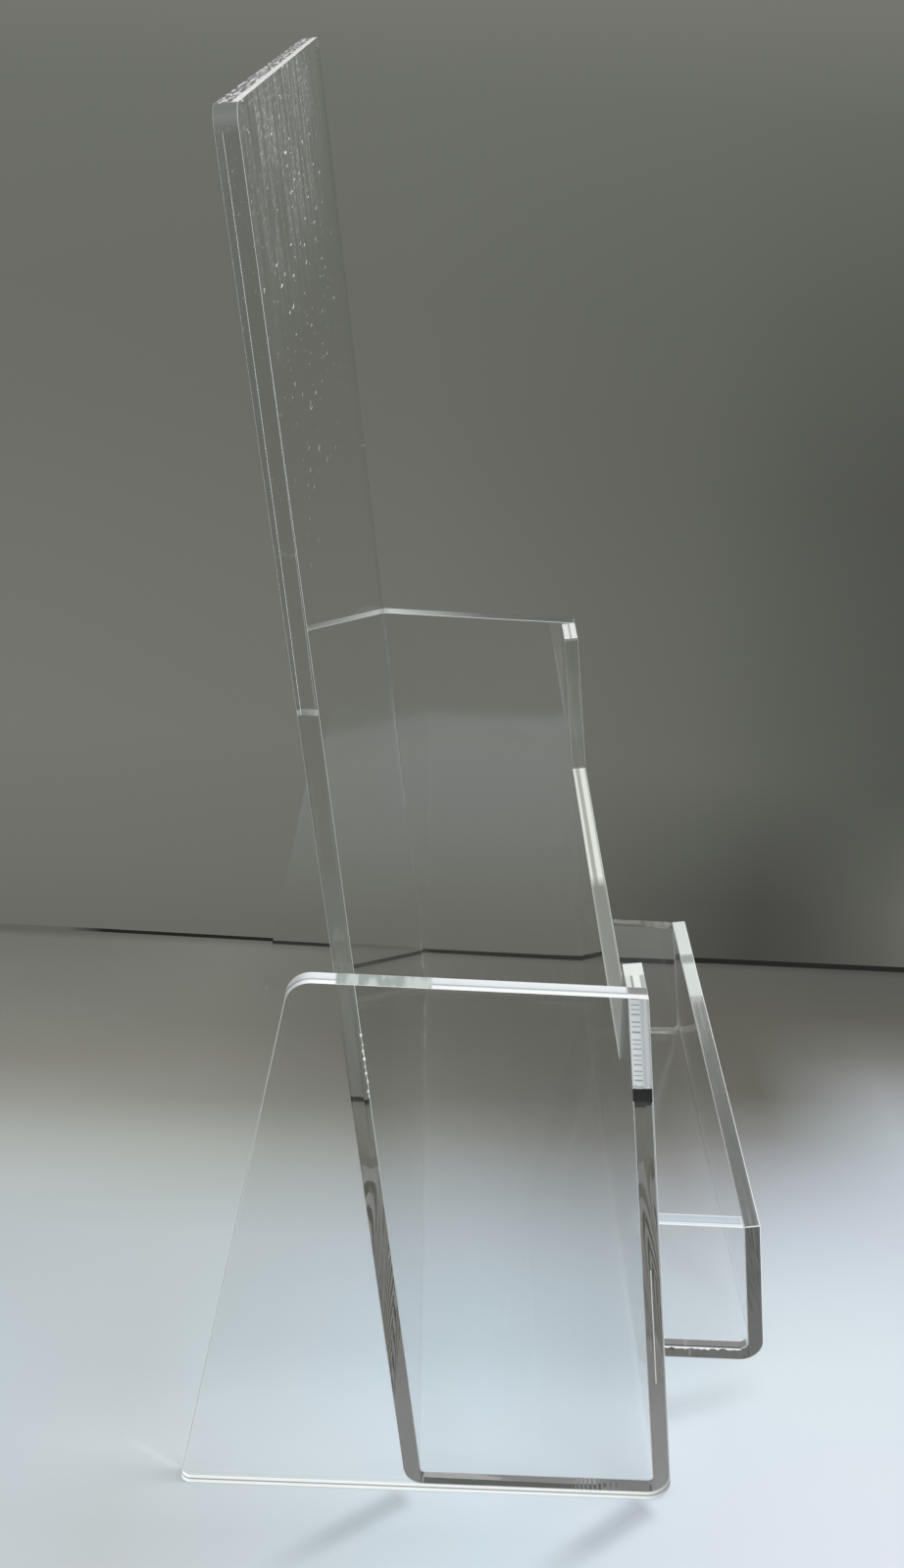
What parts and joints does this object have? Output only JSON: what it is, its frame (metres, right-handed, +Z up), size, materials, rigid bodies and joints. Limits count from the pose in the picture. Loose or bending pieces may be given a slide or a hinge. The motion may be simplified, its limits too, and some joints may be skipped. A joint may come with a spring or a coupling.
{
  "type": "leaflet holder",
  "caption": "Countertop leaflet holder in clear acrylic: bent back, floor and front sheet between sloping side plates, with a small card pocket on the front",
  "frame": {"origin": "On the table, under the middle of the whole holder's width and depth.", "axes": "+X is the width, to the right as seen from the front. +Y points to the back, so the front faces -Y. +Z is up."},
  "size_m": [0.158, 0.1054, 0.2255],
  "materials": {
    "clear_acrylic": "polished"
  },
  "bodies": {
    "root": {"body_sheet": "clear_acrylic", "side_plate_left": "clear_acrylic", "side_plate_right": "clear_acrylic", "card_pocket_sheet": "clear_acrylic", "card_pocket_end_left": "clear_acrylic", "card_pocket_end_right": "clear_acrylic"}
  },
  "joints": []
}
